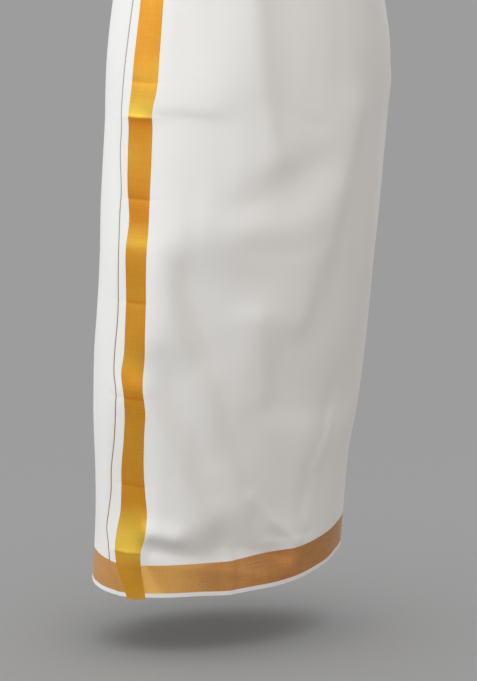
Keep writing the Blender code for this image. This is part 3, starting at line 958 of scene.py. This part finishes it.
class DhotiStage(bpy.types.PropertyGroup):
    """Floor and light."""

    floor: bpy.props.FloatVectorProperty(
        name="Floor colour", description="Colour of the floor",
        subtype="COLOR", size=3, default=(0.60, 0.60, 0.60), min=0.0, max=1.0)
    key_colour: bpy.props.FloatVectorProperty(
        name="Key colour", description="Colour of the lights at the wearer's right and behind",
        subtype="COLOR", size=3, default=(0.97, 0.99, 0.985), min=0.0, max=1.0)
    fill_colour: bpy.props.FloatVectorProperty(
        name="Fill colour", description="Colour of the light at the wearer's left",
        subtype="COLOR", size=3, default=(1.0, 0.875, 0.79), min=0.0, max=1.0)
    side_power: bpy.props.FloatProperty(
        name="Side light", description="Power of the light from the wearer's right side",
        default=75.0, min=0.0, max=1000.0, unit="POWER")
    key_power: bpy.props.FloatProperty(
        name="Key light", description="Power of the light from the wearer's right front",
        default=52.0, min=0.0, max=1000.0, unit="POWER")
    fill_power: bpy.props.FloatProperty(
        name="Fill light", description="Power of the light from the wearer's left front",
        default=38.0, min=0.0, max=1000.0, unit="POWER")
    back_power: bpy.props.FloatProperty(
        name="Back light", description="Power of the light behind the wearer",
        default=45.0, min=0.0, max=1000.0, unit="POWER")
    overhead: bpy.props.FloatProperty(
        name="Overhead light", description="Strength of the wide light straight above",
        default=0.72, min=0.0, max=10.0)
    ambient: bpy.props.FloatProperty(
        name="Ambient light", description="Strength of the even light from all round",
        default=0.337, min=0.0, max=3.0)


# Building the pieces

class PieceOperator:
    """Shared by the operators that build pieces."""

    bl_options = {"REGISTER", "UNDO"}

    def execute(self, context):
        self.build(context.scene)
        return {"FINISHED"}


class DHOTI_OT_wound_cotton(PieceOperator, bpy.types.Operator):
    """Build the plain cotton: the outer flap, round the back and under the flap"""

    bl_idname = "dhoti.wound_cotton"
    bl_label = "Wound cotton"

    def build(self, scene):
        form = scene.dhoti_form
        cotton = cotton_material(scene.dhoti_cotton)
        drop = body_drops(form.row_size)
        piece = shell("wound_cotton", wound_angles(drop), drop, form, cotton, form.thickness)
        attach(piece, "root")
        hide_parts("front_flap_cloth", "left_side_cloth", "back_cloth", "right_side_cloth",
                    "under_front_cloth")


class DHOTI_OT_flap_margin(PieceOperator, bpy.types.Operator):
    """Build the white margin between the end band and the free edge"""

    bl_idname = "dhoti.flap_margin"
    bl_label = "Flap margin"

    def build(self, scene):
        form = scene.dhoti_form
        cotton = cotton_material(scene.dhoti_cotton)
        drop = body_drops(MARGIN_ROW)
        piece = shell("flap_margin", margin_angles(drop), drop, form, cotton, form.thickness)
        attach(piece, "root")
        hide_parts("flap_margin_cloth")


class DHOTI_OT_end_band(PieceOperator, bpy.types.Operator):
    """Build the gold band woven down the flap's end"""

    bl_idname = "dhoti.end_band"
    bl_label = "End band"

    def build(self, scene):
        form = scene.dhoti_form
        drop = even_steps(0.0, WHOLE_DROP + BAND_DROOP, BAND_ROW)
        inside = np.minimum(drop, WHOLE_DROP)
        angles = strip_angles(flap_line(inside, "band_start"), flap_line(inside, "band_end"), BAND_COLUMNS)
        # The band's tone: painted light and shade down the band, with painted shade darkening each packing
        # crease
        tone = straight_column(BAND_PAINTED_LIGHT_COLUMNS, BAND_PAINTED_LIGHT, drop) - 0.35 * crease_shade_mask(drop)
        piece = shell("end_band", angles, drop, form, band_material(scene), form.thickness,
                      values={"tone": tone[:, None] + 0.0 * angles})
        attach(piece, "root")
        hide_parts("flap_end_band")


class DHOTI_OT_hem_bands(PieceOperator, bpy.types.Operator):
    """Build the gold hem bands of the wound cotton and of the flap's margin"""

    bl_idname = "dhoti.hem_bands"
    bl_label = "Hem bands"

    def build(self, scene):
        form = scene.dhoti_form
        gold = hem_material(scene)
        drop = even_steps(PLAIN_DROP, PLAIN_DROP + HEM_BAND, HEM_ROW)
        angles = wound_angles(drop)
        # The hem band's tone is its painted light and shade round the hem, with the painted highlight streak
        wound = shell("hem_band", angles, drop, form, gold, form.thickness,
                      values={"tone": hem_painted_light(angles, drop[:, None])})
        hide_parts("front_flap_hem_band", "left_side_hem_band", "back_hem_band",
                    "right_side_hem_band", "under_front_hem_band")
        angles = margin_angles(drop)
        margin = shell("margin_hem_band", angles, drop, form, gold, form.thickness,
                       values={"tone": hem_painted_light(angles, drop[:, None])})
        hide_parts("flap_margin_hem_band")
        for piece in (wound, margin):
            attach(piece, "root")


class DHOTI_OT_selvedges(PieceOperator, bpy.types.Operator):
    """Build the white selvedges below the hem bands"""

    bl_idname = "dhoti.selvedges"
    bl_label = "Selvedges"

    def build(self, scene):
        form = scene.dhoti_form
        cotton = cotton_material(scene.dhoti_cotton)
        drop = even_steps(PLAIN_DROP + HEM_BAND, WHOLE_DROP, SELVEDGE_ROW)
        wound = shell("selvedge", wound_angles(drop), drop, form, cotton, SELVEDGE_THICKNESS)
        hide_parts("front_flap_selvedge", "left_side_selvedge", "back_selvedge",
                    "right_side_selvedge", "under_front_selvedge")
        margin = shell("margin_selvedge", margin_angles(drop), drop, form, cotton, SELVEDGE_THICKNESS)
        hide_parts("flap_margin_selvedge")
        for piece in (wound, margin):
            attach(piece, "root")


class DHOTI_OT_edge_thread(PieceOperator, bpy.types.Operator):
    """Build the thin gold thread woven down the free edge"""

    bl_idname = "dhoti.edge_thread"
    bl_label = "Edge thread"

    def build(self, scene):
        form = scene.dhoti_form
        drop = even_steps(0.0, PLAIN_DROP, HEM_ROW)
        edge = flap_line(drop, "free_edge")
        width = EDGE_THREAD_WIDTH / ARC_PER_DEGREE
        angles = strip_angles(edge - width * 0.15, edge + width, 3)
        tone = straight_column(THREAD_TONE_COLUMNS, THREAD_TONES, drop)
        piece = shell("edge_thread", angles, drop, form, thread_material(scene), EDGE_THREAD_THICKNESS,
                      EDGE_THREAD_LIFT, {"tone": tone[:, None] + 0.0 * angles})
        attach(piece, "root")


class DHOTI_OT_waist_roll(PieceOperator, bpy.types.Operator):
    """Build the waist roll: the cloth's top turned down outwards over itself"""

    bl_idname = "dhoti.waist_roll"
    bl_label = "Waist roll"

    def build(self, scene):
        cotton = cotton_material(scene.dhoti_cotton)
        corners = np.array(ROLL_SECTION + ROLL_SECTION[:3])
        places = np.arange(len(corners), dtype=float)
        at = np.linspace(1.0, len(ROLL_SECTION) + 1.0, ROLL_POINTS, endpoint=False)
        roll = smooth_columns(("place", *ROLL_COLUMNS), np.column_stack([places, corners]), at)
        around = at * 2 * np.pi / len(ROLL_SECTION)
        angles = np.linspace(0.0, 360.0, ROLL_COLUMNS_ROUND, endpoint=False)[:, None] + np.zeros(ROLL_POINTS)
        height = TOP + roll["up"] + 0.0 * angles
        out = roll["out"] + self.relief(np.radians(angles), roll["out"], roll["up"], around)
        points = section_point(angles, height, out + fold_offset(LARGE_FOLDS, angles, height))
        here = np.arange(ROLL_COLUMNS_ROUND)[:, None] * ROLL_POINTS + np.arange(ROLL_POINTS)[None, :]
        onward = np.roll(here, -1, axis=0)
        quads = np.stack([here, np.roll(here, -1, axis=1), np.roll(onward, -1, axis=1), onward], axis=-1)
        cloth_uv = np.stack(np.broadcast_arrays(angles * ARC_PER_DEGREE, at[None, :] * 0.008), axis=-1)
        piece = mesh_piece("rolled_waist", points.reshape(-1, 3), quads.reshape(-1, 4),
                           cloth_uv.reshape(-1, 2), {}, cotton)
        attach(piece, "root")
        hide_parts("waist_roll")

    def relief(self, turn, out, up, around):
        """How far the rolled cloth stands out: slanting creases as uneven sines round the waist and round the
        roll, slow swells, grooves where its turns end, and a gathered tuck as a bell with pleats."""
        size = ROLL_RELIEF
        outside = np.clip((out - 0.002) / 0.006, 0.0, 1.0)
        broad = np.sin(37 * turn + 2 * around + 2.0 * np.sin(5 * turn))
        narrow = np.sin(59 * turn - around + 1.6 * np.sin(9 * turn + around))
        swells = np.sin(6 * turn + around + 1.2 * np.sin(2 * turn))
        line = size["groove_height"] + size["groove_sway"] * np.sin(2 * turn + 0.6)
        upper_line = size["upper_groove_height"] + size["upper_groove_sway"] * np.sin(3 * turn)
        groove = np.exp(-(((up - line) / size["groove_width"]) ** 2))
        upper_groove = np.exp(-(((up - upper_line) / size["upper_groove_width"]) ** 2))
        tuck = np.exp(-(((np.degrees(turn) - size["tuck_place"]) / size["tuck_reach"]) ** 2))
        pleats = np.sin(np.degrees(turn) * 1.9 + 3.0 * around)
        total = size["creases"] * (broad + 0.7 * narrow) + size["swells"] * swells
        total = total + size["groove"] * groove + size["upper_groove"] * upper_groove
        total = total + tuck * (size["tuck_depth"] + size["pleat_depth"] * pleats)
        return outside * total


class DHOTI_OT_stage(bpy.types.Operator):
    """Build the floor, the lights and the camera"""

    bl_idname = "dhoti.stage"
    bl_label = "Stage"
    bl_options = {"REGISTER", "UNDO"}

    def execute(self, context):
        scene = context.scene
        look = scene.dhoti_stage
        floor = self.floor(look)
        self.overhead_light(look.overhead)
        self.area_light("Side light", -80.0, 30.0, look.side_power, look.key_colour, floor)
        self.area_light("Key light", -40.0, 30.0, look.key_power, look.key_colour, floor)
        self.area_light("Fill light", 30.0, 5.0, look.fill_power, look.fill_colour, floor)
        self.area_light("Back light", 150.0, 30.0, look.back_power, look.key_colour, floor)
        self.ambient(scene, look.ambient)
        self.camera(scene)
        scene.view_settings.view_transform = "Standard"
        return {"FINISHED"}

    def floor(self, look):
        """The floor: a flat square far wider than any view reaches, as a coarse grid."""
        steps = np.linspace(-FLOOR_REACH, FLOOR_REACH, 9)
        x, y = np.meshgrid(steps, steps)
        points = np.stack([x, y, np.full_like(x, FLOOR_HEIGHT)], axis=-1).reshape(-1, 3)
        quads = grid_quads(9, 9, 0, True)
        material, tree, shader = fresh_material("Pale floor")
        place = tree.nodes.new("ShaderNodeTexCoord").outputs["Object"]
        clouds = place_group(tree, "Cloudy tone", Vector=place, Scale=0.6)
        near_tone = tuple(part * 0.985 for part in look.floor)
        colour = mixed(tree, clouds.outputs[0], (*near_tone, 1.0), (*look.floor, 1.0))
        tree.links.new(colour, shader.inputs["Base Color"])
        shader.inputs["Roughness"].default_value = 0.95
        shader.inputs["Specular IOR Level"].default_value = 0.0
        floor = mesh_piece("floor", points, quads, points[:, :2], {}, material)
        return floor

    def overhead_light(self, strength):
        """A wide soft light from straight above, which lights the whole floor evenly."""
        light = bpy.data.lights.new("Overhead light", "SUN")
        light.energy = strength
        light.angle = np.radians(70.0)
        thing = bpy.data.objects.new("Overhead light", light)
        bpy.context.scene.collection.objects.link(thing)

    def keep_off_floor(self, light, floor):
        """Flag a light off the floor, so that the floor stays even."""
        flagged = bpy.data.collections.get("Flagged floor")
        if not flagged:
            flagged = bpy.data.collections.new("Flagged floor")
            flagged.objects.link(floor)
            flagged.collection_objects[0].light_linking.link_state = "EXCLUDE"
        light.light_linking.receiver_collection = flagged

    def area_light(self, name, azimuth, elevation, power, colour, floor):
        """A square soft light aimed at the cloth's middle. The azimuth is 0 at the camera and 90 at +X."""
        light = bpy.data.lights.new(name, "AREA")
        light.size = LIGHT_SIZE
        light.energy = power
        light.color = colour
        turn, rise = np.radians(azimuth), np.radians(elevation)
        aim = Vector((-np.cos(rise) * np.sin(turn), np.cos(rise) * np.cos(turn), -np.sin(rise)))
        thing = bpy.data.objects.new(name, light)
        thing.location = Vector((0.0, 0.0, LIT_HEIGHT)) - aim * LIGHT_DISTANCE
        thing.rotation_euler = aim.to_track_quat("-Z", "Y").to_euler()
        bpy.context.scene.collection.objects.link(thing)
        self.keep_off_floor(thing, floor)

    def ambient(self, scene, strength):
        """Even light from all round."""
        world = bpy.data.worlds.new("Even light")
        world.use_nodes = True
        background = world.node_tree.nodes["Background"]
        background.inputs["Color"].default_value = (1.0, 1.0, 1.0, 1.0)
        background.inputs["Strength"].default_value = strength
        scene.world = world

    def camera(self, scene):
        """The camera at the photograph's height, distance and tilt."""
        lens = bpy.data.cameras.new("Camera")
        lens.sensor_fit = "VERTICAL"
        lens.sensor_height = SENSOR_HEIGHT
        lens.lens = SENSOR_HEIGHT * FOCAL_PIXELS / FRAME_HEIGHT_PIXELS
        eye = bpy.data.objects.new("Camera", lens)
        eye.location = CAMERA_PLACE
        eye.rotation_euler = (np.radians(90.0 - CAMERA_PITCH), 0.0, 0.0)
        scene.collection.objects.link(eye)
        scene.camera = eye


class DHOTI_PT_panel(bpy.types.Panel):
    """The dhoti's pieces and finishes"""

    bl_idname = "DHOTI_PT_panel"
    bl_label = "Worn wrap dhoti"
    bl_space_type = "VIEW_3D"
    bl_region_type = "UI"
    bl_category = "Dhoti"

    def draw(self, context):
        for name, group in GROUPS.items():
            box = self.layout.box()
            for key in group.__annotations__:
                box.prop(getattr(context.scene, name), key)
        for step in BUILD_STEPS:
            self.layout.operator(step)


GROUPS = {
    "dhoti_form": DhotiForm,
    "dhoti_cotton": DhotiCotton,
    "dhoti_zari": DhotiZari,
    "dhoti_stage": DhotiStage,
}
OPERATORS = (
    DHOTI_OT_wound_cotton,
    DHOTI_OT_flap_margin,
    DHOTI_OT_end_band,
    DHOTI_OT_hem_bands,
    DHOTI_OT_selvedges,
    DHOTI_OT_edge_thread,
    DHOTI_OT_waist_roll,
    DHOTI_OT_stage,
)
BUILD_STEPS = tuple(operator.bl_idname for operator in OPERATORS)


def register():
    for name, group in GROUPS.items():
        bpy.utils.register_class(group)
        setattr(bpy.types.Scene, name, bpy.props.PointerProperty(type=group))
    for operator in OPERATORS:
        bpy.utils.register_class(operator)
    bpy.utils.register_class(DHOTI_PT_panel)


def unregister():
    bpy.utils.unregister_class(DHOTI_PT_panel)
    for operator in reversed(OPERATORS):
        bpy.utils.unregister_class(operator)
    for name, group in reversed(GROUPS.items()):
        delattr(bpy.types.Scene, name)
        bpy.utils.unregister_class(group)


def main():
    register()
    for step in BUILD_STEPS:
        area, name = step.split(".")
        getattr(getattr(bpy.ops, area), name)()


if __name__ == "__main__":
    main()
